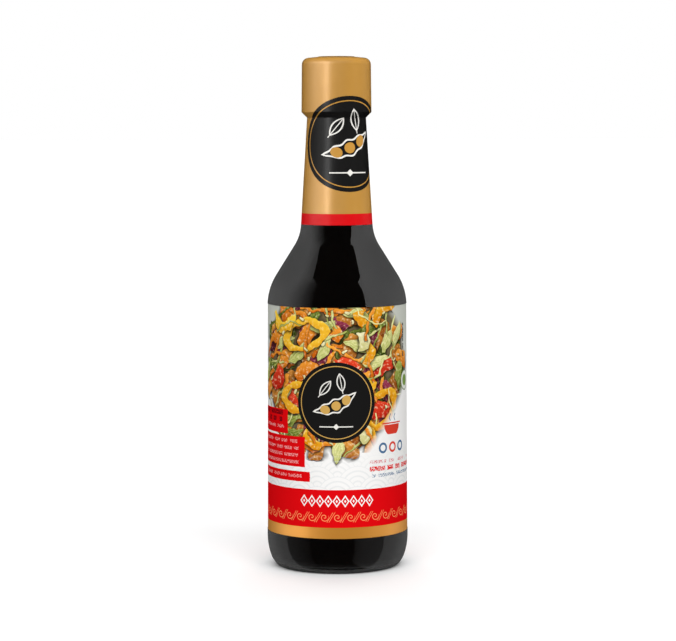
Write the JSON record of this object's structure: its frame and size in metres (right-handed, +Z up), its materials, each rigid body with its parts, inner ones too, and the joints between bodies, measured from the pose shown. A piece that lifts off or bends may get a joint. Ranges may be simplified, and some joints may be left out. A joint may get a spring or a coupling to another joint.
{
  "type": "soy sauce bottle",
  "caption": "Shut round glass bottle of dark soy sauce with a sloping shoulder, a tall neck, a gold film over cap and neck, and a wrap-round paper label.",
  "frame": {"origin": "centre of the bottle's foot, on the surface that it stands on", "axes": "+Z up along the bottle's own axis; -Y is the side of the label that faces the viewer"},
  "size_m": [0.0578, 0.0578, 0.2083],
  "materials": {
    "clear_glass": "clear polished bottle glass",
    "soy_sauce": "a liquid, almost black brown and glossy",
    "gold_plastic": "satin gold plastic cap",
    "gold_film": "satin gold shrink film with a red band at its lower edge and a dark printed roundel",
    "label_paper": "satin paper printed in white, bright red, gold and food colours"
  },
  "bodies": {
    "root": {"glass_bottle": "clear_glass", "soy_sauce": "soy_sauce", "screw_cap": "gold_plastic", "neck_film": "gold_film", "body_label": "label_paper"}
  },
  "joints": []
}
